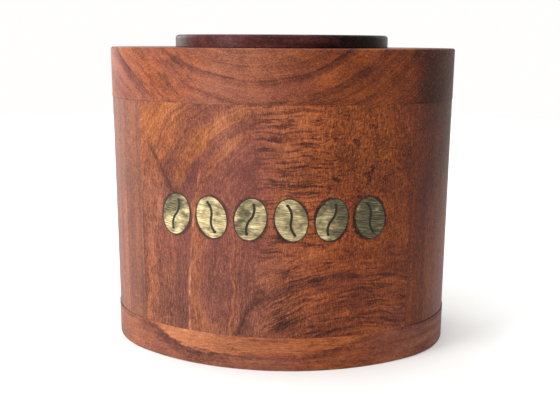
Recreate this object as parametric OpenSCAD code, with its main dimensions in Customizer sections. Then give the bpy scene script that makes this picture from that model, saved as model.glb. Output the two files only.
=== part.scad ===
// Oval wooden coffee canister: a four-piece wall glued between a base board and a
// top board, six brass bean inlays let into the front, and a round lid whose plug
// and rubber ring close the mouth.
// Millimetres. +X runs along the width, -Y is the front with the inlays, +Z is up,
// and the origin is the middle of the face that it stands on.

/* [Body] */
// Width of the wall over its two ends
body_w = 178; // [170:1:190]
// Depth of the wall from front to back
body_d = 130; // [128:1:136]
// Height from the table to the top face
body_h = 153; // [130:1:180]
// Thickness of the wall
wall_t = 13; // [12:0.5:14]
// Thickness of the base board
base_t = 17; // [15:1:22]
// Thickness of the top board
top_t = 25; // [22:1:30]
// How far the front and back seams of the wall lie from the middle
seam_y = 44; // [40:0.5:46]
// How far each end of the base board stands proud of the wall
base_proud = 0.4; // [0:0.1:0.8]
// How far each end of the top board stands proud of the wall
top_proud = 0.15; // [0:0.05:0.4]
// Radius of the eased edges round the top face and the foot
edge_round = 1; // [0.5:0.1:2]

/* [Mouth and lid] */
// Diameter of the mouth bored through the top board
mouth_d = 100; // [94:1:102]
// Diameter of the lid's dark disc
lid_d = 110; // [108:1:114]
// Height of the lid's disc above the top face
lid_t = 6.2; // [5.5:0.1:10]
// Radius of the lid's upper edge
lid_round = 1.7; // [0.5:0.1:2.5]
// Depth that the plug reaches into the mouth
plug_depth = 16; // [14:1:20]
// Radial gap between the plug and the mouth
plug_gap = 0.4; // [0.3:0.1:0.8]
// Thickness of the rubber ring's round section
gasket_t = 4; // [3:0.5:5]

/* [Inlays] */
// Number of brass beans in the row
inlay_count = 6; // [6]
// Height of one bean
inlay_h = 20; // [18:1:21]
// Width of one bean
inlay_w = 15; // [13:0.5:15]
// Thickness of the brass
inlay_t = 2; // [1.5:0.1:3]
// Height of the row's middle above the table
inlay_z = 75; // [60:1:85]
// Angle between neighbours, about the centre of the front arc
inlay_pitch = 9.7; // [9.5:0.1:10]
// Lean of each bean, alternately left and right
inlay_lean = 14; // [0:1:15]
// Width of the dark filler line round the brass
filler_w = 0.5; // [0.3:0.1:0.8]
// Width of the crease along the bean
crease_w = 1.2; // [0.8:0.1:1.6]

/* [Fixings] */
// Diameter of the hidden dowels
dowel_d = 6; // [5:0.5:7]
// Depth of a dowel in each of the two pieces that it joins
dowel_depth = 10; // [8:1:12]
// Diameter of the lid screws' shanks
screw_d = 3.5; // [3:0.1:4]
// Diameter of the circle that the lid screws lie on
screw_circle = 60; // [50:1:70]

/* [Hidden] */
$fn = 96;

wall_color = [0.42, 0.19, 0.10];
board_color = [0.47, 0.20, 0.11];
lid_color = [0.20, 0.10, 0.10];
plug_color = [0.33, 0.16, 0.09];
brass_color = [0.66, 0.60, 0.38];
filler_color = [0.08, 0.06, 0.04];
rubber_color = [0.07, 0.07, 0.07];
dowel_color = [0.78, 0.62, 0.42];

fit_gap = 0.05;                          // between a dowel, screw or boss and its hole
over = 1;                                // how far a cutter runs past the face that it cuts
wall_top = body_h - top_t;
unit = (body_w - body_d) / 4;            // the side of the 3-4-5 triangles, over 3, 4 and 5
front_centre_y = 4 * unit;               // centre of the front arc
front_r = body_d / 2 + 4 * unit;         // radius of the front arc

mouth_r = mouth_d / 2;
mouth_round = 0.8;                       // eased edge inside the mouth
recess_depth = 1.2;                      // seat for the plug, turned in the disc
foot_round = 0.4;                        // eased lower edge of the disc
plug_r = mouth_r - plug_gap;
plug_top = body_h + recess_depth;
plug_bottom = body_h - plug_depth;
gasket_z = body_h - plug_depth / 2;
gasket_gap = 0.1;                        // from the ring to the mouth and to the groove's floor
gasket_r = mouth_r - gasket_gap - gasket_t / 2; // middle of the ring's section
groove_r = gasket_r - gasket_t / 2 - gasket_gap;
groove_h = gasket_t + 0.4;               // the groove is a little taller than the ring

screw_bite = 3;                          // length of a screw's end in the disc
screw_tip = plug_top + screw_bite;
screw_head_r = screw_d;
screw_head_h = 2.2;
slot_w = 0.9;
slot_depth = 1;

crease_reach = 0.36 * inlay_h;           // height of the crease above and below its middle
crease_end_d = 1.25 * crease_w;          // the drilled round at each end of the crease
dowel_nose = 1;                          // chamfer at a dowel's ends
glue_gap = 0.5;                          // room for glue past each end of a dowel

wall_mid_x = body_w / 2 - wall_t / 2;
wall_mid_y = body_d / 2 - wall_t / 2;
dowel_spots = [[0, -wall_mid_y], [0, wall_mid_y], [-wall_mid_x, 0], [wall_mid_x, 0]];

// ---- The oval ---------------------------------------------------------------

// A triangle with its corner at the centre of an arc. Its two long edges run along the
// lines through the points where the arc meets its neighbours, which slope 4 in 3.
module arc_wedge(centre, toward, h) {
    far = body_w / 2;
    ends = toward[0] != 0
        ? [[3 * far * toward[0], -4 * far], [3 * far * toward[0], 4 * far]]
        : [[-3 * far, 4 * far * toward[1]], [3 * far, 4 * far * toward[1]]];
    linear_extrude(h) polygon([centre, centre + ends[0], centre + ends[1]]);
}

// One arc of the oval: the profile turned about the arc's centre, cut to its wedge.
// The profile reads the arc's radius from $arc_r.
module oval_arc(centre, toward, r, h) {
    intersection() {
        translate([centre[0], centre[1], 0]) rotate_extrude() let ($arc_r = r) children();
        arc_wedge(centre, toward, h);
    }
}

// A profile swept round an oval of four tangent arcs. The arcs' centres are corners
// of 3-4-5 triangles, so that every width and depth closes exactly.
module oval_sweep(w, d, h) {
    u = (w - d) / 4;
    end_r = d / 2 - u;
    for (s = [-1, 1]) {
        oval_arc([s * 3 * u, 0], [s, 0], end_r, h) children();
        oval_arc([0, -s * 4 * u], [0, s], end_r + 5 * u, h) children();
    }
}

// Half section of a flat board from z = low to z = high, with eased edges.
module board_profile(r, low, high, low_round, high_round) {
    difference() {
        translate([0, low]) square([r, high - low]);
        edge_cut(r, low, low_round, 1);
        edge_cut(r, high, high_round, -1);
    }
}

// What rounding takes off a square corner at [r, z]. side is 1 at a lower corner.
module edge_cut(r, z, round, side) {
    if (round > 0)
        difference() {
            translate([r - round, side > 0 ? z - over : z - round]) square([round + over, round + over]);
            translate([r - round, z + side * round]) circle(round);
        }
}

module dowel_holes(z) {
    for (p = dowel_spots)
        translate([p[0], p[1], z - dowel_depth]) cylinder(h = 2 * dowel_depth, d = dowel_d + 2 * fit_gap);
}

module dowels(z) {
    r = dowel_d / 2;
    half = dowel_depth - glue_gap;
    for (p = dowel_spots)
        translate([p[0], p[1], z]) rotate_extrude()
            polygon([
                [0, -half], [r - dowel_nose, -half], [r, dowel_nose - half],
                [r, half - dowel_nose], [r - dowel_nose, half], [0, half]
            ]);
}

// ---- Boards and wall --------------------------------------------------------

module base_board() {
    color(board_color) difference() {
        oval_sweep(body_w + 2 * base_proud, body_d, base_t)
            board_profile($arc_r, 0, base_t, edge_round / 2, 0);
        dowel_holes(base_t);
    }
}

module top_board() {
    color(board_color) difference() {
        oval_sweep(body_w + 2 * top_proud, body_d, body_h)
            board_profile($arc_r, wall_top, body_h, 0, edge_round);
        mouth();
        dowel_holes(wall_top);
    }
}

// The bored mouth, with both of its edges eased.
module mouth() {
    rotate_extrude() {
        translate([0, wall_top - over]) square([mouth_r, top_t + 2 * over]);
        for (end = [[wall_top, 1], [body_h, -1]])
            difference() {
                translate([0, end[0] - mouth_round]) square([mouth_r + mouth_round, 2 * mouth_round]);
                translate([mouth_r + mouth_round, end[0] + end[1] * mouth_round]) circle(mouth_round);
            }
    }
}

// The whole wall, before it is parted at its seams.
module wall_ring() {
    oval_sweep(body_w, body_d, wall_top)
        translate([$arc_r - wall_t, base_t]) square([wall_t, wall_top - base_t]);
}

// The part of the wall inside a box from corner a to corner b, seen from above.
module wall_piece(a, b) {
    color(wall_color) difference() {
        intersection() {
            wall_ring();
            translate([a[0], a[1], 0]) cube([b[0] - a[0], b[1] - a[1], body_h]);
        }
        dowel_holes(base_t);
        dowel_holes(wall_top);
    }
}

module wall_front() {
    difference() {
        wall_piece([-body_w, -body_d], [body_w, -seam_y]);
        for (i = [1:inlay_count])
            inlay_place(i) bean_outline(filler_w);
    }
}

module wall_back() { wall_piece([-body_w, seam_y], [body_w, body_d]); }
module wall_left() { wall_piece([-body_w, -seam_y], [0, seam_y]); }
module wall_right() { wall_piece([0, -seam_y], [body_w, seam_y]); }

// ---- Inlays -----------------------------------------------------------------

// Extrudes a flat outline through the wall's front face, at the place of inlay i,
// from the floor of its pocket to just outside the wall.
module inlay_place(i) {
    turn = (i - (inlay_count + 1) / 2) * inlay_pitch;
    lean = (i % 2 == 0 ? 1 : -1) * inlay_lean;
    translate([0, front_centre_y, inlay_z]) rotate([0, 0, turn]) translate([0, inlay_t - front_r, 0])
        rotate([90, 0, 0]) linear_extrude(inlay_t + over) rotate(lean) children();
}

// Cuts its children off flush with the wall's front face.
module flush_with_front() {
    intersection() {
        children();
        translate([0, front_centre_y, 0]) cylinder(h = body_h, r = front_r, $fn = 192);
    }
}

// Flat oval of four arcs, standing on its end, larger all round by grow.
module bean_outline(grow) {
    u = (inlay_h - inlay_w) / 4;
    r = inlay_w / 2 - u + grow;
    far = inlay_h;
    for (s = [-1, 1]) {
        intersection() {
            translate([0, s * 3 * u]) circle(r);
            polygon([[0, s * 3 * u], [-4 * far, s * (3 * u + 3 * far)], [4 * far, s * (3 * u + 3 * far)]]);
        }
        intersection() {
            translate([-s * 4 * u, 0]) circle(r + 5 * u);
            polygon([[-s * 4 * u, 0], [s * 4 * (far - u), -3 * far], [s * 4 * (far - u), 3 * far]]);
        }
    }
}

// The S-shaped crease: two arcs that meet in the middle, with a drilled round at each
// end. Each arc's centre is the corner of an 8-15-17 triangle of k, so its radius is 17 k,
// its height 16 k, and the two meet exactly.
module crease() {
    k = crease_reach / 16;
    for (s = [0, 180])
        rotate(s) {
            translate([-15 * k, 8 * k]) rotate(180) intersection() {
                difference() {
                    circle(17 * k + crease_w / 2);
                    circle(17 * k - crease_w / 2);
                }
                polygon([[0, 0], [-30 * k, 16 * k], [-30 * k, -16 * k]]);
            }
            translate([0, 16 * k]) rotate(90) circle(d = crease_end_d);
        }
}

module bean_brass() {
    difference() {
        bean_outline(0);
        crease();
    }
}

module inlay(i) {
    color(brass_color) flush_with_front() inlay_place(i) bean_brass();
}

module inlay_filler() {
    color(filler_color) for (i = [1:inlay_count])
        flush_with_front() inlay_place(i) difference() {
            bean_outline(filler_w);
            bean_brass();
        }
}

// ---- Lid --------------------------------------------------------------------

module screw_places() {
    for (a = [90, 210, 330])
        rotate(a) translate([screw_circle / 2, 0, 0]) children();
}

// Shank and sunk head, made larger all round by gap for the hole.
module screw_shape(gap) {
    translate([0, 0, plug_bottom]) {
        cylinder(h = screw_head_h, r1 = screw_head_r + gap, r2 = screw_d / 2 + gap);
        cylinder(h = screw_tip - plug_bottom + gap, d = screw_d + 2 * gap);
    }
}

module lid_disc() {
    color(lid_color) difference() {
        rotate_extrude($fn = 160)
            board_profile(lid_d / 2, body_h, body_h + lid_t, foot_round, lid_round);
        translate([0, 0, body_h - over]) cylinder(h = recess_depth + over, r = plug_r + fit_gap);
        screw_places() screw_shape(fit_gap);
    }
}

module lid_plug() {
    color(plug_color) difference() {
        rotate_extrude($fn = 160) difference() {
            board_profile(plug_r, plug_bottom, plug_top, edge_round, 0);
            translate([groove_r, gasket_z - groove_h / 2]) square([gasket_t, groove_h]);
        }
        screw_places() screw_shape(fit_gap);
    }
}

module lid_gasket() {
    color(rubber_color) rotate_extrude($fn = 160)
        translate([gasket_r, gasket_z]) circle(d = gasket_t, $fn = 32);
}

module lid_screws() {
    color(brass_color) screw_places() difference() {
        screw_shape(0);
        translate([-2 * screw_d, -slot_w / 2, plug_bottom - over])
            cube([4 * screw_d, slot_w, slot_depth + over]);
    }
}

base_board();
color(dowel_color) dowels(base_t);  // base_dowels
wall_front();
wall_back();
wall_left();
wall_right();
top_board();
color(dowel_color) dowels(wall_top);  // top_dowels
inlay(1);  // inlay_1
inlay(2);  // inlay_2
inlay(3);  // inlay_3
inlay(4);  // inlay_4
inlay(5);  // inlay_5
inlay(6);  // inlay_6
inlay_filler();
lid_disc();
lid_plug();
lid_gasket();
lid_screws();
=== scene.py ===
"""Oval wooden coffee canister: looks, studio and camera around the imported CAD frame.

Every wooden piece is a solid procedural wood: growth rings about a pith, fibres along
the grain, pores and ripple are fields of the piece's own millimetres, so the figure runs
through the piece as it does in real timber. Brass, filler and rubber follow the same way.
"""
import math

import bmesh
import bpy
from mathutils import Euler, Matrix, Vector


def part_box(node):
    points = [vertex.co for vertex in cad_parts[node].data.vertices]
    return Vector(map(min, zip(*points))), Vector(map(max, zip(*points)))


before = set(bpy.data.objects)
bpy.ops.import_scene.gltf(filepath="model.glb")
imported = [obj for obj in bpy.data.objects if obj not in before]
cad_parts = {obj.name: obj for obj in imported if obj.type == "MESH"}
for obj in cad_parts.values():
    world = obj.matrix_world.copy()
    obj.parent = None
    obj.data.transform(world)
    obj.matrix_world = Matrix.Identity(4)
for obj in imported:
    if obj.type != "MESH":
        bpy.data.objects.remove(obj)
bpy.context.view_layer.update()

MM = 0.001

# Places that the looks depend on, read from the frame, in millimetres.
BASE_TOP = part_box("base_board")[1].z / MM
WALL_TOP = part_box("top_board")[0].z / MM
BODY_HALF_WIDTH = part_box("wall_right")[1].x / MM
# The six inlays' boxes, in metres.
INLAY_BOXES = [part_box(name) for name in sorted(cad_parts) if name[-1].isdigit()]


# ---- Node graphs written as arithmetic --------------------------------------------


class Field:
    """A number that varies over a surface: an output socket that takes part in sums."""

    def __init__(self, graph, socket):
        self.graph = graph
        self.socket = socket

    def __add__(self, other):
        return self.graph.math("ADD", self, other)

    __radd__ = __add__

    def __sub__(self, other):
        return self.graph.math("SUBTRACT", self, other)

    def __rsub__(self, other):
        return self.graph.math("SUBTRACT", other, self)

    def __mul__(self, other):
        return self.graph.math("MULTIPLY", self, other)

    __rmul__ = __mul__

    def __truediv__(self, other):
        return self.graph.math("DIVIDE", self, other)

    def abs(self):
        return self.graph.math("ABSOLUTE", self)

    def step(self, low, high):
        """0 at low, 1 at high and smooth between; low may be the larger one."""
        return self.graph.step(self, low, high)

    def bump_at(self, centre, width):
        """1 at centre, falling smoothly to 0 at width away on either side."""
        return (self - centre).abs().step(width, 0.0)


def rgba(colour):
    """A constant colour with its alpha; a socket stays as it is."""
    return (*colour, 1.0) if isinstance(colour, tuple) else colour


class Graph:
    """The node tree of a material or world, built from fields of x, y and z."""

    def __init__(self, owner, coordinates="Object", unit=MM):
        self.owner = owner
        owner.use_nodes = True
        self.tree = owner.node_tree
        self.tree.nodes.clear()
        place = self.tree.nodes.new("ShaderNodeTexCoord").outputs[coordinates]
        parts = self.tree.nodes.new("ShaderNodeSeparateXYZ")
        self.tree.links.new(place, parts.inputs[0])
        self.x, self.y, self.z = (Field(self, out) * (1 / unit) for out in parts.outputs)

    def plug(self, value, socket):
        """Links a field or socket to an input, or sets the input to a constant."""
        if isinstance(value, Field):
            value = value.socket
        if isinstance(value, bpy.types.NodeSocket):
            self.tree.links.new(value, socket)
        else:
            socket.default_value = value

    def math(self, operation, a, b=0.0):
        node = self.tree.nodes.new("ShaderNodeMath")
        node.operation = operation
        self.plug(a, node.inputs[0])
        self.plug(b, node.inputs[1])
        return Field(self, node.outputs[0])

    def step(self, value, low, high):
        node = self.tree.nodes.new("ShaderNodeMapRange")
        node.interpolation_type = "SMOOTHSTEP"
        self.plug(value, node.inputs["Value"])
        self.plug(low, node.inputs["From Min"])
        self.plug(high, node.inputs["From Max"])
        return Field(self, node.outputs["Result"])

    def vector(self, x, y, z):
        node = self.tree.nodes.new("ShaderNodeCombineXYZ")
        for value, socket in zip((x, y, z), node.inputs):
            self.plug(value, socket)
        return node.outputs[0]

    def noise(self, x, y, z, seed, detail=2.0, rough=0.5):
        """Fractal noise from about 0.2 to 0.8. Coordinates are counted in grains."""
        node = self.tree.nodes.new("ShaderNodeTexNoise")
        self.plug(self.vector(x + seed, y + 0.37 * seed, z - 0.61 * seed), node.inputs["Vector"])
        node.inputs["Scale"].default_value = 1.0
        node.inputs["Detail"].default_value = detail
        node.inputs["Roughness"].default_value = rough
        return Field(self, node.outputs["Fac"])

    def swirl(self, size, seed, detail=1.0):
        """Even noise over the piece with grains of that size, from about -0.5 to 0.5."""
        return (self.noise(self.x / size, self.y / size, self.z / size, seed, detail) - 0.5) * 1.6

    def distance(self, a, b):
        return self.math("SQRT", a * a + b * b)

    def patch(self, x, z, centre, reach, rim=1.3, full=0.4):
        """An oval patch about centre: 1 within full times its reach, 0 beyond rim times it."""
        across = (x - centre[0]) / reach[0]
        up = (z - centre[1]) / reach[1]
        return self.distance(across, up).step(rim, full)

    def ramp(self, value, stops):
        """Colour along stops of (position, (red, green, blue))."""
        node = self.tree.nodes.new("ShaderNodeValToRGB")
        elements = node.color_ramp.elements
        while len(elements) < len(stops):
            elements.new(0.5)
        for element, (position, colour) in zip(elements, stops):
            element.position = position
            element.color = rgba(colour)
        self.plug(value, node.inputs[0])
        return node.outputs[0]

    def blend(self, amount, under, over):
        """Colour over laid on colour under, by amount."""
        node = self.tree.nodes.new("ShaderNodeMix")
        node.data_type = "RGBA"
        # A Mix node has a pair of inputs for each type; 6 and 7 are the colours.
        factor, first, second = node.inputs[0], node.inputs[6], node.inputs[7]
        self.plug(amount, factor)
        self.plug(rgba(under), first)
        self.plug(rgba(over), second)
        return node.outputs[2]

    def finish(self, colour, roughness, relief=None, relief_mm=0.1, constants=()):
        """Ends the graph in a Principled shader; a relief of 1 stands relief_mm high."""
        shader = self.tree.nodes.new("ShaderNodeBsdfPrincipled")
        self.plug(rgba(colour), shader.inputs["Base Color"])
        self.plug(roughness, shader.inputs["Roughness"])
        for name, value in constants:
            shader.inputs[name].default_value = value
        if relief is not None:
            bump = self.tree.nodes.new("ShaderNodeBump")
            bump.inputs["Distance"].default_value = relief_mm * MM
            self.plug(relief, bump.inputs["Height"])
            self.plug(bump.outputs[0], shader.inputs["Normal"])
        output = self.tree.nodes.new("ShaderNodeOutputMaterial")
        self.tree.links.new(shader.outputs[0], output.inputs["Surface"])
        return self.owner


def material_graph(name):
    """A new material's graph, whose fields are the piece's own millimetres."""
    return Graph(bpy.data.materials.new(name))


# ---- Colours ---------------------------------------------------------------------

# Each palette runs from dark to pale.
HEARTWOOD = (
    (0.00, (0.014, 0.005, 0.004)),
    (0.22, (0.058, 0.013, 0.006)),
    (0.42, (0.140, 0.031, 0.009)),
    (0.60, (0.255, 0.062, 0.014)),
    (0.80, (0.375, 0.113, 0.028)),
    (1.00, (0.520, 0.205, 0.072)),
)
# The same wood where it is browner and duller; also laid on as painted greyish sheen of the light.
UMBER_WOOD = (
    (0.00, (0.026, 0.012, 0.010)),
    (0.22, (0.070, 0.025, 0.016)),
    (0.42, (0.150, 0.050, 0.030)),
    (0.60, (0.250, 0.088, 0.050)),
    (0.80, (0.355, 0.140, 0.074)),
    (1.00, (0.500, 0.242, 0.134)),
)
# The same wood where it is more golden.
GOLDEN_WOOD = (
    (0.00, (0.020, 0.009, 0.004)),
    (0.22, (0.062, 0.019, 0.007)),
    (0.42, (0.148, 0.042, 0.010)),
    (0.60, (0.260, 0.080, 0.017)),
    (0.80, (0.375, 0.137, 0.034)),
    (1.00, (0.520, 0.242, 0.088)),
)
ROSEWOOD = (
    (0.00, (0.006, 0.003, 0.003)),
    (0.40, (0.030, 0.009, 0.010)),
    (0.70, (0.075, 0.020, 0.020)),
    (1.00, (0.150, 0.050, 0.040)),
)
BIRCH = (
    (0.00, (0.300, 0.180, 0.090)),
    (0.50, (0.520, 0.350, 0.190)),
    (1.00, (0.700, 0.520, 0.310)),
)
BRUSHED_BRASS = (
    (0.36, (0.110, 0.082, 0.038)),
    (0.50, (0.420, 0.330, 0.160)),
    (0.64, (0.790, 0.690, 0.410)),
)
TARNISHED_BRASS = (
    (0.34, (0.020, 0.018, 0.012)),
    (0.53, (0.096, 0.082, 0.046)),
    (0.68, (0.300, 0.250, 0.140)),
)
SCREW_BRASS = (
    (0.30, (0.550, 0.380, 0.140)),
    (0.70, (0.800, 0.620, 0.300)),
)
FILLER = (
    (0.30, (0.006, 0.005, 0.004)),
    (0.70, (0.030, 0.022, 0.015)),
)
RUBBER = (
    (0.40, (0.012, 0.012, 0.012)),
    (0.75, (0.035, 0.034, 0.033)),
)
PURPLE_HEART = (0.130, 0.034, 0.036)
PALE_FLECK = (0.640, 0.300, 0.160)


# ---- Wood ------------------------------------------------------------------------

WOOD_RELIEF = 0.05       # millimetres that a relief of 1 stands high
SEAM_WIDTH = 0.40        # millimetres from a hairline seam's middle to its edge
SEAM_SHADE = 0.04        # tone that a seam takes away everywhere
# Painted shade at the ends of the seams, most at the right end.
SEAM_END_SHADE = 0.50    # tone that it takes away besides at the right end


def grain_frame(g, along):
    """Two coordinates across the grain and the one along it."""
    return {
        "X": (g.y, g.z, g.x),
        "Y": (g.x, g.z, g.y),
        "Z": (g.x, g.y, g.z),
    }[along]


def streaks(g, a, b, length, seed, across, along, detail=3.0):
    """Noise drawn out along the grain, its grains across wide and along long."""
    return g.noise(a / across, b / across, length / along, seed, detail, 0.6)


def finish_wood(g, tone, purple, along, seed, tints=(), palette=HEARTWOOD, roughness=0.46,
                fleck=0.20, grit=1.0, shine=0.10, dash=1.0):
    """Adds what all the timber shares: fibres, dark pores, pale flecks and satin lacquer.

    Mottle and cloud are dash times longer level than upright. Grit scales them and the fibres,
    fleck is how much the pale dust shows, and shine is the lacquer's specular level.
    """
    a, b, length = grain_frame(g, along)
    fibre = streaks(g, a, b, length, seed, 0.50, 2.8)
    pore = streaks(g, a, b, length, seed + 11, 0.34, 1.6, 1.0).step(0.58, 0.70)
    upright = 0.60
    level = upright * dash
    mottle = g.noise(g.x / level, g.y / level, g.z / upright, seed + 17, 2.0, 0.8)
    cloud = g.noise(g.x / level / 4, g.y / level / 4, g.z / upright / 4, seed + 29, 3.0, 0.65)
    dust = streaks(g, a, b, length, seed + 23, 0.42, 0.9, 1.0).step(0.58, 0.78)
    fine = (fibre - 0.5) * 0.80 + (mottle - 0.5) * 0.64 + (cloud - 0.5) * 0.36 - pore * 0.22
    tone = tone + fine * grit
    colour = g.ramp(tone, palette)
    for amount, tint in tints:
        colour = g.blend(amount, colour, g.ramp(tone, tint))
    colour = g.blend(purple, colour, PURPLE_HEART)
    colour = g.blend(dust * fleck, colour, PALE_FLECK)
    rough = roughness + (fibre - 0.5) * 0.16 + pore * 0.18
    relief = fibre * 0.35 - pore * 0.9
    return g.finish(colour, rough, relief, WOOD_RELIEF, (("Specular IOR Level", shine),))


def seam_shade(g, planes):
    """How much the hairline seams at these heights darken: a thin dark glue line, and painted shade
    toward the ends, most at the right.
    """
    right = g.x.step(0.60 * BODY_HALF_WIDTH, 0.97 * BODY_HALF_WIDTH)
    left = g.x.step(-0.60 * BODY_HALF_WIDTH, -0.97 * BODY_HALF_WIDTH)
    shade = 0.0
    for plane in planes:
        shade = g.z.bump_at(plane, SEAM_WIDTH) + shade
    return shade * ((right + left * 0.5) * SEAM_END_SHADE + SEAM_SHADE)


def dull_wood_and_sheen(g):
    """Browner, duller wood over the left and the middle, fading out right of the middle: partly the
    wood's own colour, partly painted sheen of the light from the left.
    """
    return g.x.step(34.0, -18.0) * 0.85


# Dark growth lines of the top board: radius, depth of tone and half width.
GROWTH_LINES = ((57, 0.18, 2.4), (70, 0.20, 3.0), (80, 0.16, 3.6), (91, 0.16, 3.0))


def top_board_wood():
    """Grain runs front to back, so the front shows rings that hang like smiles from a pith above."""
    g = material_graph("top_board_wood")
    pith_x, pith_z = -6.0, 208.0
    warp_x = g.swirl(60.0, 3.1) * 8.0
    warp_z = g.swirl(34.0, 7.7, 2.0) * 4.5
    radius = g.distance(g.x + warp_x - pith_x, g.z + warp_z - pith_z)
    bands = g.noise(radius / 9.0, g.y / 300.0, 0.5, 4.2, 2.0, 0.5)
    fine = g.noise(radius / 0.9, g.x / 30.0, g.y / 60.0, 9.3, 3.0, 0.6)
    tone = 0.56 + (bands - 0.5) * 0.34 + (fine - 0.5) * 0.34 + g.swirl(22.0, 12.4, 3.0) * 0.22
    tone = tone - g.x.step(-8.0, 20.0) * 0.18 + g.x.step(34.0, 50.0) * 0.08
    # Each growth line is a sharp line in a soft shade, broken here and there.
    for ring, depth, width in GROWTH_LINES:
        broken = g.noise(g.x / 12.0, g.y / 60.0, g.z / 12.0, ring, 3.0).step(0.34, 0.56)
        line = radius.bump_at(ring, width) * 0.8 + radius.bump_at(ring - 0.8, 0.9) * 0.7
        tone = tone - line * broken * depth
    # Redder, darker wood fills the space between two rings on the left and in the middle.
    inner = radius.bump_at(75.0, 8.0) * g.x.step(30.0, 0.0)
    # A straight crack-like line cuts off the left end, with clay-orange wood to its right.
    beyond = (g.x + 67.0) * 0.72 + (g.z - 139.0) * 0.69
    left_end = g.x.step(-48.0, -54.0)
    corner = beyond.step(0.0, -1.2) * left_end
    slant = g.noise(beyond / 3.2, g.y / 60.0, (g.x - g.z) / 40.0, 93.0, 3.0)
    crack = beyond.bump_at(0.0, 0.9) * left_end * g.z.step(156.0, 146.0)
    clay = g.patch(g.x, g.z, (-49.0, 139.0), (19.0, 15.0), full=0.5) * beyond.step(-0.5, 0.5)
    smear = g.noise(beyond / 2.6, g.y / 40.0, (g.x - g.z) / 11.0, 87.0, 2.0).step(0.50, 0.66)
    tone = tone - inner * 0.06 - crack * 0.20 + clay * 0.01 - smear * clay * 0.16
    tone = tone + (slant - 0.52) * corner * 0.60 - beyond.bump_at(-2.0, 3.0) * corner * 0.06
    # Two pale patches right of the middle, and shades under the upper edge.
    tone = tone + g.patch(g.x, g.z, (11.0, 154.0), (12.0, 7.0), 1.2, 0.3) * 0.09
    tone = tone + g.patch(g.x, g.z, (32.0, 136.0), (14.0, 9.0), 1.2, 0.3) * 0.09
    tone = tone - g.x.bump_at(30.0, 14.0) * g.z.step(141.0, 148.0) * 0.06
    tone = tone - g.x.bump_at(-44.0, 24.0) * g.z.step(143.0, 149.0) * 0.04
    # Dark wood with a wavy border takes the right end, deepened by painted shade of the side away from
    # the light.
    wavy = (g.noise(g.x / 16.0, g.y / 150.0, g.z / 16.0, 19.0) - 0.5) * 16.0
    dark_wood_and_shade_right = (g.x + wavy - (g.z - 140.0) * 0.2).step(61.0, 76.0)
    tone = tone - dark_wood_and_shade_right * 0.35
    tone = tone - seam_shade(g, (WALL_TOP,))
    purple = g.swirl(20.0, 15.0, 2.0).step(0.0, 0.6) * g.x.step(60.0, 44.0) * 0.20 + inner * 0.22
    purple = purple + corner * g.x.step(-88.0, -79.0) * 0.20
    upper_left = g.z.step(141.0, 149.0) * g.x.step(-18.0, -34.0)
    umber = dull_wood_and_sheen(g) * (1.0 - clay * 0.8) * (1.0 - upper_left * 0.5)
    tints = ((umber, UMBER_WOOD),)
    return finish_wood(g, tone, purple, "Y", 2.0, tints, grit=0.88, dash=1.8)


def base_board_wood():
    """Grain runs left to right, with one broad orange band along the upper front edge."""
    g = material_graph("base_board_wood")
    fine = streaks(g, g.y, g.z, g.x, 17.0, 1.1, 40.0)
    ragged = (streaks(g, g.y, g.z, g.x, 31.0, 1.4, 14.0) - 0.5) * 5.0
    # The band hangs from the seam, blunt at the left and drawn out to a point at the right.
    hang = g.x.step(-67.0, -38.0) * g.x.step(60.0, 8.0) * 9.8
    inside = hang + ragged - (BASE_TOP - g.z)
    front = g.y.step(0.0, -20.0)
    band = inside.step(-0.2, 0.8) * front
    spots = g.noise(g.x / 7.0, g.y / 7.0, g.z / 7.0, 37.0, 2.0).step(0.40, 0.62)
    edge = inside.bump_at(-1.2, 1.9) * (spots * 0.7 + 0.5) * front
    core = g.x.bump_at(-44.0, 26.0) * band
    below_band = inside.bump_at(-3.4, 4.6) * g.x.step(-8.0, -40.0) * g.x.step(-74.0, -66.0)
    shade = below_band * (spots * 0.5 + 0.6)
    long_marks = g.noise(g.x / 22.0, g.y / 30.0, g.z / 2.6, 58.0, 3.0, 0.6)
    tone = 0.52 + (fine - 0.5) * 0.56 + band * 0.09 + core * 0.18 - edge * 0.14 - shade * 0.20
    tone = tone + (long_marks - 0.5) * (1.0 - band * 0.7) * (g.x.step(0.0, 30.0) * 0.30 + 0.44)
    tone = tone + g.x.step(48.0, 62.0) * 0.05 - g.x.step(62.0, 80.0) * 0.05
    tone = tone + g.swirl(18.0, 43.0, 3.0) * 0.18
    tone = tone - seam_shade(g, (BASE_TOP,))
    purple = (1.0 - band) * (g.swirl(26.0, 2.0).step(-0.3, 0.5) * 0.22 + 0.10)
    purple = purple * (1.0 - g.x.step(-62.0, -74.0) * 0.7)
    umber = dull_wood_and_sheen(g) * (0.9 - band * 0.3) + g.x.step(40.0, 74.0) * 0.72 + 0.12
    tints = ((umber, UMBER_WOOD),)
    return finish_wood(g, tone, purple, "X", 5.0, tints, grit=0.66, dash=2.6)


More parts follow.
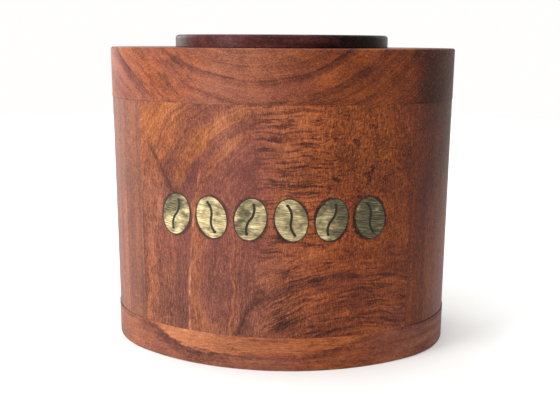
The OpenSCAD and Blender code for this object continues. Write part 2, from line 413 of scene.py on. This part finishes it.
def wall_end_wood(name, seed, depth, low_contrast, shine):
    """Quarter-sawn end piece: straight upright stripes, darker by depth.

    Below the middle the stripes gain low_contrast. The two pieces share one description of
    their seams with the front, because x tells them apart.
    """
    g = material_graph(name)
    sway = g.noise(g.x / 60.0, g.y / 60.0, g.z / 90.0, seed) * 6.0
    stripes = g.noise((g.y + sway) / 5.0, (g.x + sway * 0.4) / 3.2, g.z / 250.0, seed, 4.0, 0.62)
    contrast = g.z.step(92.0, 62.0) * low_contrast + 0.36
    tone = 0.42 - depth + (stripes - 0.5) * contrast + g.swirl(35.0, seed + 1) * 0.16
    # Right piece: dark wood runs down from the top in stripes, deepened by painted shade of the side
    # away from the light;
    # the lower half and the seam with the front are paler, and high up a strip beside the seam is
    # darker.
    dark_stripes_and_shade_top = g.x.step(66.0, 84.0) * (g.z + (stripes - 0.5) * 260.0).step(84.0, 112.0)
    lower_right = g.x.step(64.0, 84.0) * g.z.step(110.0, 70.0)
    foot = lower_right * g.z.step(60.0, 24.0)
    at_seam = g.x.bump_at(64.0, 11.0)
    beside_seam = g.x.bump_at(73.0, 9.0) * g.z.step(60.0, 90.0)
    tone = tone + lower_right * 0.04 + foot * 0.06 + at_seam * 0.05
    tone = tone - dark_stripes_and_shade_top * 0.17 - beside_seam * 0.05
    # Left piece: golden brown beside the front, a little darker at the far end.
    left_seam = g.x.bump_at(-69.0, 17.0)
    tone = tone - g.x.step(-76.0, -86.0) * 0.054
    tone = tone - seam_shade(g, (BASE_TOP, WALL_TOP))
    upper_right = g.x.step(50.0, 60.0) * g.z.step(60.0, 90.0)
    purple = g.swirl(28.0, seed + 2).step(-0.3, 0.6) * 0.30 + depth * 0.3
    purple = purple * (1.0 - upper_right * 0.8) * (1.0 - left_seam * 0.7)
    # Umber over the lower right end is painted greyish sheen along that edge; over the left it is
    # partly painted sheen.
    umber = dull_wood_and_sheen(g) + lower_right * g.x.step(70.0, 84.0) * 0.95 + left_seam * 0.15
    golden = left_seam * (stripes.step(0.30, 0.60) * 0.26 + 0.08)
    tints = ((umber, UMBER_WOOD), (golden, GOLDEN_WOOD))
    return finish_wood(g, tone, purple, "Z", seed, tints, grit=0.80, shine=shine)


# ---- The front wall's figure -----------------------------------------------------


def ripple(g, height, seed, across, along, wander):
    """Dark strokes that lie level in height, denser in patches, from 0 to 1."""
    height = height + g.swirl(11.0, seed + 4, 2.0) * wander
    stroke = g.noise(g.x / along, g.y / along, height / across, seed, 3.0, 0.65).step(0.53, 0.39)
    patch = g.noise(g.x / 12.0, g.y / 12.0, height / 6.0, seed + 9, 2.0, 0.6).step(0.34, 0.62)
    return stroke * (patch * 0.5 + 0.5)


def inlay_stain(g):
    """Filler and polish that have crept into the grain round each inlay."""
    creep = (g.noise(g.x / 1.6, g.y / 1.6, g.z / 1.6, 91.0, 2.0) - 0.5) * 0.16
    stain = 0.0
    for low, high in INLAY_BOXES:
        half_width = (high.x - low.x) / 2 / MM
        half_height = (high.z - low.z) / 2 / MM
        across = (g.x - (high.x + low.x) / 2 / MM) / half_width
        up = (g.z - (high.z + low.z) / 2 / MM) / half_height
        stain = (g.distance(across, up) + creep).step(1.15, 1.00) + stain
    return stain


def front_upright(g, x, z):
    """Left half: upright bands and threads that bend round a point right of the middle.

    Returns the tone and the bands alone, because they turn the hue too.
    """
    sweep = g.distance(x - 6.0, (z - 72.0) * z.step(40.0, 80.0))
    left = x.step(2.0, -16.0)
    low_left = x.step(-30.0, -44.0) * z.step(80.0, 60.0)
    bands = g.noise(sweep / 6.5, g.y / 80.0, z / 140.0, 33.0, 3.0, 0.6) - 0.5
    lines = g.noise(sweep / 1.1, g.y / 40.0, z / 40.0, 39.0, 3.0, 0.6) - 0.5
    threads = g.noise(sweep / 0.50, g.y / 12.0, z / 13.0, 35.0, 3.0, 0.7) - 0.5
    tone = bands * (left * 0.70 + low_left * 0.18) + lines * left * 0.46 + threads * left * 0.36
    return tone, bands * left


def front_ripple(g, x, z):
    """Middle: short level strokes on paler wood."""
    zone = x.step(-14.0, -2.0) * x.step(42.0, 16.0) * z.step(46.0, 62.0)
    stroke = ripple(g, g.z - g.x * 0.03, 41.0, 1.15, 12.0, 2.6)
    return (0.09 - stroke * 0.36) * zone


def front_flame(g, zone):
    """Lower right: flame that arches over to the right."""
    arch = g.distance(g.x - 44.0, g.z + 42.0)
    stroke = ripple(g, arch, 47.0, 1.2, 12.0, 3.2)
    bands = g.noise(arch / 4.6, g.y / 60.0, g.x / 34.0, 45.0, 2.0, 0.6) - 0.5
    threads = g.noise(arch / 0.60, g.y / 12.0, g.x / 13.0, 49.0, 3.0, 0.7) - 0.5
    return (bands * 0.70 + threads * 0.50 - stroke * 0.30) * zone


def front_specks(g, x, flame_zone):
    """Upper right: slanting specks and a few dark knots."""
    zone = x.step(10.0, 32.0) * (1.0 - flame_zone) * (1.0 - x.step(46.0, 62.0) * 0.4)
    speck = g.noise((g.x + g.z) / 2.0, g.y / 1.9, (g.z - g.x) / 1.1, 51.0, 3.0, 0.65) - 0.5
    knots = g.noise(g.x / 8.0, g.y / 8.0, g.z / 5.0, 53.0, 2.0, 0.6).step(0.58, 0.70)
    return (speck * 0.92 - knots * 0.24) * zone


# Ovals of the front wall that are paler or darker than the wood round them: centre and
# reach in millimetres across and up, then the change of tone.
FRONT_PATCHES = (
    ((-46.0, 121.0), (14.0, 7.0), 0.05),
    ((-47.0, 96.0), (13.0, 13.0), -0.12),
    ((-43.0, 92.0), (11.0, 12.0), -0.05),
    ((-21.0, 114.0), (13.0, 14.0), 0.04),
    ((-15.0, 109.0), (7.0, 12.0), 0.05),
    ((24.0, 98.0), (20.0, 13.0), -0.09),
)


def front_shades(g, x, z):
    """Paler and darker areas that don't follow the grain, with painted shade right of the middle among
    them.
    """
    tone = g.patch(x, z, (-1.0, 49.0), (9.0, 9.0), full=0.3) * 0.09
    for centre, reach, change in FRONT_PATCHES:
        tone = tone + g.patch(x, z, centre, reach) * change
    # Right of the middle: darker, broadly as painted shade of the side away from the light, most of all
    # round the inlays' tops, but paler below them.
    tone = tone - x.step(16.0, 46.0) * 0.05 + g.x.step(46.0, 56.0) * 0.04
    tone = tone - x.step(26.0, 40.0) * z.bump_at(84.0, 30.0) * 0.02
    tone = tone + x.step(24.0, 42.0) * z.bump_at(58.0, 16.0) * 0.04
    # Lower half: darker from the left to the middle, paler at the right.
    tone = tone - x.bump_at(-46.0, 16.0) * z.step(46.0, 28.0) * 0.15
    tone = tone - x.step(20.0, -10.0) * z.bump_at(42.0, 36.0) * 0.05
    tone = tone - x.bump_at(6.0, 12.0) * (z.step(38.0, 26.0) + z.bump_at(58.0, 7.0)) * 0.06
    tone = tone - x.bump_at(12.0, 10.0) * z.bump_at(30.0, 18.0) * 0.06
    tone = tone + x.bump_at(48.0, 12.0) * z.bump_at(30.0, 16.0) * 0.05
    return tone + x.step(38.0, 50.0) * z.step(34.0, 24.0) * 0.08


def front_marks(g):
    """A thin pale line, a dark vein that falls to the right, and smudges from the lower edge."""
    pale_x = -40.5 + (g.z - 19.5) * (g.z - 19.5) * 0.0011
    dashes = g.noise(g.x / 30.0, g.y / 30.0, g.z / 5.0, 61.0, 1.0).step(0.30, 0.60)
    pale = (g.x - pale_x).bump_at(0.0, 0.9) * g.z.step(108.0, 96.0) * dashes
    vein_x = -60.0 + (107.0 - g.z) * 0.58
    vein = (g.x - vein_x).bump_at(0.0, 1.8) * g.z.step(78.0, 84.0) * g.z.step(112.0, 104.0)
    smudge_x = -15.0 + (g.z - 20.0) * 0.50
    patchy = g.noise(g.x / 4.0, g.y / 9.0, g.z / 5.0, 71.0, 2.0).step(0.40, 0.62)
    smudge = (g.x - smudge_x).bump_at(0.0, 4.0) * g.z.step(48.0, 38.0) * patchy
    return pale * 0.34 - vein * 0.20 - smudge * 0.30


def wall_front_wood():
    """Crotch figure: upright grain on the left that sweeps into ripple and tilted flame."""
    g = material_graph("wall_front_wood")
    x = g.x + g.swirl(22.0, 21.0, 3.0) * 7.0
    z = g.z + g.swirl(22.0, 27.0, 3.0) * 7.0

    # Areas with a colour of their own, from left to right.
    left_strip = x.step(-53.0, -61.0) * z.step(52.0, 74.0)
    gold_edge = x.bump_at(-55.0, 4.5) * z.step(100.0, 84.0)
    gold = g.patch(x, z, (-51.0, 118.0), (18.0, 21.0))
    upper_gold = g.patch(x, z, (-45.0, 104.0), (15.0, 24.0))
    upper_left = x.step(-22.0, -38.0) * z.step(82.0, 98.0)
    brown = g.patch(x, z, (-35.0, 104.0), (9.0, 26.0), 1.2, 0.3)
    red = g.patch(x, z, (-26.0, 66.0), (32.0, 56.0), 1.2, 0.5)
    low_middle = x.step(16.0, -8.0) * x.step(-52.0, -40.0) * z.step(66.0, 50.0)
    core = g.patch(x, z, (-7.0, 102.0), (13.0, 22.0), 1.2, 0.4)
    warm = g.patch(x, z, (14.0, 98.0), (20.0, 44.0), 1.2, 0.2)
    flame_zone = z.step(66.0, 44.0) * x.step(-14.0, 6.0)
    upper_right = x.step(16.0, 30.0) * g.x.step(62.0, 52.0) * z.step(84.0, 104.0)
    low_right = x.step(46.0, 58.0) * z.step(34.0, 23.0)
    right_seam = (g.x + g.swirl(14.0, 65.0, 2.0) * 5.0).step(52.0, 65.0)

    upright, band_hue = front_upright(g, x, z)
    tone = 0.48 + upright + front_ripple(g, x, z) + front_flame(g, flame_zone)
    tone = tone + front_specks(g, x, flame_zone) + g.swirl(13.0, 57.0, 3.0) * 0.26
    tone = tone + gold * 0.07 + gold_edge * 0.10 + left_strip * z.step(112.0, 100.0) * 0.03
    tone = tone + warm * 0.04 + low_middle * 0.015 + low_right * 0.03
    tone = tone - brown * 0.08 - red * 0.05 - core * 0.06 - right_seam * 0.07
    tone = tone + front_shades(g, x, z) + front_marks(g) - inlay_stain(g) * 0.42
    tone = tone - seam_shade(g, (BASE_TOP, WALL_TOP))

    purple = red * 0.30 + core * 0.16 + right_seam * 0.06 - band_hue
    purple = purple + flame_zone * x.step(8.0, 24.0) * 0.10
    purple = purple + g.swirl(18.0, 83.0, 2.0).step(0.0, 0.6) * (1.0 - gold) * 0.20
    purple = purple * (1.0 - left_strip * 0.8) * (1.0 - low_middle * 0.2)
    golden = gold * 0.35 + upper_gold * 0.20 + left_strip * 0.14 + upper_right * 0.20
    golden = golden + band_hue.step(0.02, 0.14) * 0.38
    umber = dull_wood_and_sheen(g) * (1.0 - upper_left * 0.60)
    umber = umber + left_strip * 0.30 + low_middle * 0.16 + low_right * 0.25
    tints = ((umber, UMBER_WOOD), (golden, GOLDEN_WOOD))
    return finish_wood(g, tone, purple, "Z", 8.0, tints, grit=0.92)


# ---- The other pieces of wood ----------------------------------------------------


def wall_back_wood():
    """A sister board of the front: upright grain with gentler ripple."""
    g = material_graph("wall_back_wood")
    x = g.x + g.swirl(30.0, 121.0, 2.0) * 9.0
    sweep = g.distance(x + 20.0, (g.z - 40.0) * 0.45)
    bands = g.noise(sweep / 7.0, g.y / 80.0, g.z / 200.0, 133.0, 3.0, 0.6)
    stroke = ripple(g, g.z + g.x * 0.08, 141.0, 1.3, 10.0, 2.6)
    where = g.swirl(40.0, 151.0).step(-0.2, 0.4)
    tone = 0.54 + (bands - 0.5) * 0.80 - stroke * where * 0.30
    tone = tone - seam_shade(g, (BASE_TOP, WALL_TOP))
    purple = g.swirl(24.0, 161.0).step(-0.1, 0.6) * 0.35
    return finish_wood(g, tone, purple, "Z", 15.0, ((0.45, UMBER_WOOD),), grit=0.84)


def lid_wood():
    """Rosewood with long streaks, darker at its right: partly dark heartwood, partly painted shade of
    the side away from the light.
    """
    g = material_graph("lid_wood")
    fine = streaks(g, g.y, g.z, g.x, 44.0, 1.6, 60.0)
    broad = g.noise(g.y / 7.0, g.z / 20.0, g.x / 240.0, 12.0, 3.0, 0.6)
    streak = streaks(g, g.y, g.z, g.x, 71.0, 4.0, 400.0, 2.0)
    # Darker at the right: dark heartwood in streaks, deepened by painted shade of the side away from
    # the light.
    heart_and_shade = (g.x + (streak - 0.5) * 130.0).step(0.0, 44.0)
    tone = 0.58 + (fine - 0.5) * 0.55 + (broad - 0.5) * 0.75 - heart_and_shade * 0.56
    return finish_wood(g, tone, 0.0, "X", 18.0, palette=ROSEWOOD, roughness=0.30, fleck=0.10,
                       shine=0.05)


def plug_wood():
    """Heartwood with less figure than the boards, and duller."""
    g = material_graph("plug_wood")
    fine = streaks(g, g.y, g.z, g.x, 54.0, 1.6, 60.0)
    broad = g.noise(g.y / 8.0, g.z / 20.0, g.x / 240.0, 22.0, 3.0, 0.6)
    tone = 0.52 + (fine - 0.5) * 0.45 + (broad - 0.5) * 0.5
    return finish_wood(g, tone, 0.1, "X", 28.0, roughness=0.55)


def dowel_wood():
    """Pale, straight-grained birch."""
    g = material_graph("dowel_wood")
    tone = 0.5 + (streaks(g, g.x, g.y, g.z, 64.0, 0.5, 12.0) - 0.5) * 0.9
    return finish_wood(g, tone, 0.0, "Z", 38.0, palette=BIRCH, roughness=0.60, fleck=0.10)


# ---- Brass, filler and rubber ----------------------------------------------------


def inlay_brass():
    """Brass sanded flush and left to age: brushed straw-yellow under soft dark patina."""
    g = material_graph("inlay_brass")
    slope = g.z + g.x * 0.10
    brush = g.noise(g.x / 5.0, g.y / 5.0, slope / 0.30, 3.0, 3.0, 0.6)
    smear = g.noise(g.x / 3.4, g.y / 3.4, slope / 1.5, 23.0, 2.0, 0.6)
    blotch = g.noise(g.x / 6.0, g.y / 6.0, g.z / 5.0, 13.0, 2.0, 0.5)
    # The right end of the row is the most tarnished, then the top of the first piece.
    tarnish = g.x.step(12.0, 44.0) * 0.30 + g.x.step(-34.0, -46.0) * g.z.step(72.0, 79.0) * 0.24
    tarnish = tarnish + g.x.bump_at(-13.0, 6.0) * 0.16
    patina = (blotch * 0.8 + smear * 0.5 + (brush - 0.5) * 0.9 + tarnish).step(0.56, 0.90)
    bright = g.ramp(brush, BRUSHED_BRASS)
    dull = g.ramp(brush, TARNISHED_BRASS)
    colour = g.blend(patina, bright, dull)
    rough = 0.44 + patina * 0.22 + (brush - 0.5) * 0.2
    return g.finish(colour, rough, brush * 0.7 - patina * 0.3, 0.03, (("Metallic", 0.80),))


def screw_brass():
    """Clean yellow brass with fine tool marks."""
    g = material_graph("screw_brass")
    turned = g.noise(g.x / 0.5, g.y / 0.5, g.z / 4.0, 5.0, 2.0)
    colour = g.ramp(turned, SCREW_BRASS)
    return g.finish(colour, 0.28 + turned * 0.12, turned, 0.02, (("Metallic", 1.0),))


def dark_filler():
    """Gritty filler, nearly black."""
    g = material_graph("dark_filler")
    grit = g.noise(g.x / 0.25, g.y / 0.25, g.z / 0.25, 7.0, 2.0)
    colour = g.ramp(grit, FILLER)
    return g.finish(colour, 0.5 + grit * 0.2, grit, 0.04, (("Specular IOR Level", 0.2),))


def ring_rubber():
    """Black rubber with a trace of dust."""
    g = material_graph("ring_rubber")
    dust = g.noise(g.x / 0.8, g.y / 0.8, g.z / 0.8, 9.0, 3.0)
    colour = g.ramp(dust, RUBBER)
    return g.finish(colour, 0.55 + dust * 0.2, dust, 0.03, (("Specular IOR Level", 0.4),))


# ---- Dressing the CAD nodes ------------------------------------------------------


def dress():
    """Gives every CAD node its material."""
    looks = {
        "base_board": base_board_wood(),
        "top_board": top_board_wood(),
        "wall_front": wall_front_wood(),
        "wall_back": wall_back_wood(),
        "wall_left": wall_end_wood("wall_left_wood", 6.0, depth=-0.02, low_contrast=0.44, shine=0.21),
        # The right piece's greater depth is partly painted shade of the side away from the light.
        "wall_right": wall_end_wood("wall_right_wood", 16.0, depth=0.10, low_contrast=0.22, shine=0.13),
        "lid_disc": lid_wood(),
        "lid_plug": plug_wood(),
        "lid_gasket": ring_rubber(),
        "lid_screws": screw_brass(),
        "inlay_filler": dark_filler(),
    }
    dowels = dowel_wood()
    brass = inlay_brass()
    for name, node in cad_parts.items():
        if name.endswith("dowels"):
            look = dowels
        elif name.startswith("inlay_") and name != "inlay_filler":
            look = brass
        else:
            look = looks[name]
        node.data.materials.clear()
        node.data.materials.append(look)


# ---- Studio ----------------------------------------------------------------------

CAMERA_PLACE = Vector((29.7, -412.9, 156.4)) * MM
CAMERA_TURN = 4.17       # degrees to the left of straight at the front
CAMERA_PITCH = 12.35     # degrees below level
CAMERA_ROLL = 0.32       # degrees
CAMERA_LENS = 49.7       # millimetres on a 36 mm sensor
DIM_SIDE = 0.10          # strength of the room's dim side, where its white side is 1
FLOOR_RADIUS = 1.3       # metres
# Toward the middle of the room's white side: behind the canister, to its left and up.
BRIGHT_SIDE = Vector((-0.45, 0.80, 0.30)).normalized()
ROOM_WHITE = (1.000, 0.995, 0.985)
PAPER = (
    (0.00, (0.740, 0.735, 0.725)),
    (1.00, (0.970, 0.965, 0.955)),
)
LIGHT_AIM = Vector((0.0, 0.0, 0.07))
# Each softbox: name, place and size in metres, strength in watts.
SOFTBOXES = (
    ("window", (-1.0, -0.76, 0.42), (0.5, 0.6), 17.0),
    ("window_behind", (-1.1, 0.8, 0.5), (0.8, 0.7), 9.0),
    ("overhead", (-0.1, -0.2, 1.45), (1.6, 1.6), 23.0),
)


def camera():
    """Looks at the front from just right of the middle, level with the lid."""
    data = bpy.data.cameras.new("camera")
    data.sensor_width = 36.0
    data.lens = CAMERA_LENS
    data.clip_start = 0.01
    piece = bpy.data.objects.new("camera", data)
    aim = Euler((math.radians(90.0 - CAMERA_PITCH), 0.0, math.radians(CAMERA_TURN))).to_matrix()
    roll = Euler((0.0, 0.0, math.radians(CAMERA_ROLL))).to_matrix()
    piece.matrix_world = (aim @ roll).to_4x4()
    piece.location = CAMERA_PLACE
    bpy.context.scene.collection.objects.link(piece)
    bpy.context.scene.camera = piece


def softbox(name, place, size, watts):
    """A rectangular area light that looks at the canister."""
    data = bpy.data.lights.new(name, "AREA")
    data.shape = "RECTANGLE"
    data.size, data.size_y = size
    data.energy = watts
    piece = bpy.data.objects.new(name, data)
    piece.location = place
    piece.rotation_euler = (LIGHT_AIM - Vector(place)).to_track_quat("-Z", "Y").to_euler()
    bpy.context.scene.collection.objects.link(piece)


def white_room():
    """White behind, to the left and round the horizon; dim high up in front and to the right."""
    world = bpy.data.worlds.new("white_room")
    g = Graph(world, "Generated", 1.0)
    toward_bright = g.x * BRIGHT_SIDE.x + g.y * BRIGHT_SIDE.y + g.z * BRIGHT_SIDE.z
    white = g.math("MAXIMUM", toward_bright.step(-0.6, 0.35), g.z.step(0.24, 0.06))
    light = g.tree.nodes.new("ShaderNodeBackground")
    light.inputs["Color"].default_value = rgba(ROOM_WHITE)
    g.plug(white * (1.0 - DIM_SIDE) + DIM_SIDE, light.inputs["Strength"])
    output = g.tree.nodes.new("ShaderNodeOutputWorld")
    g.plug(light.outputs[0], output.inputs["Surface"])
    bpy.context.scene.world = world


def paper():
    """Off-white paper that pales far out, so that its rim melts into the white horizon."""
    g = material_graph("floor_paper")
    far = g.distance(g.x, g.y).step(250.0, 1100.0)
    return g.finish(g.ramp(far, PAPER), 0.7)


def pale_floor():
    """A round sheet of paper that ends where the white horizon takes over."""
    disc = bmesh.new()
    bmesh.ops.create_circle(disc, cap_ends=True, segments=96, radius=FLOOR_RADIUS)
    mesh = bpy.data.meshes.new("floor")
    disc.to_mesh(mesh)
    disc.free()
    mesh.materials.append(paper())
    piece = bpy.data.objects.new("floor", mesh)
    bpy.context.scene.collection.objects.link(piece)


def studio():
    """The camera, room, floor and lights."""
    camera()
    white_room()
    pale_floor()
    for name, place, size, watts in SOFTBOXES:
        softbox(name, place, size, watts)
    bpy.context.scene.view_settings.view_transform = "Standard"


dress()
studio()
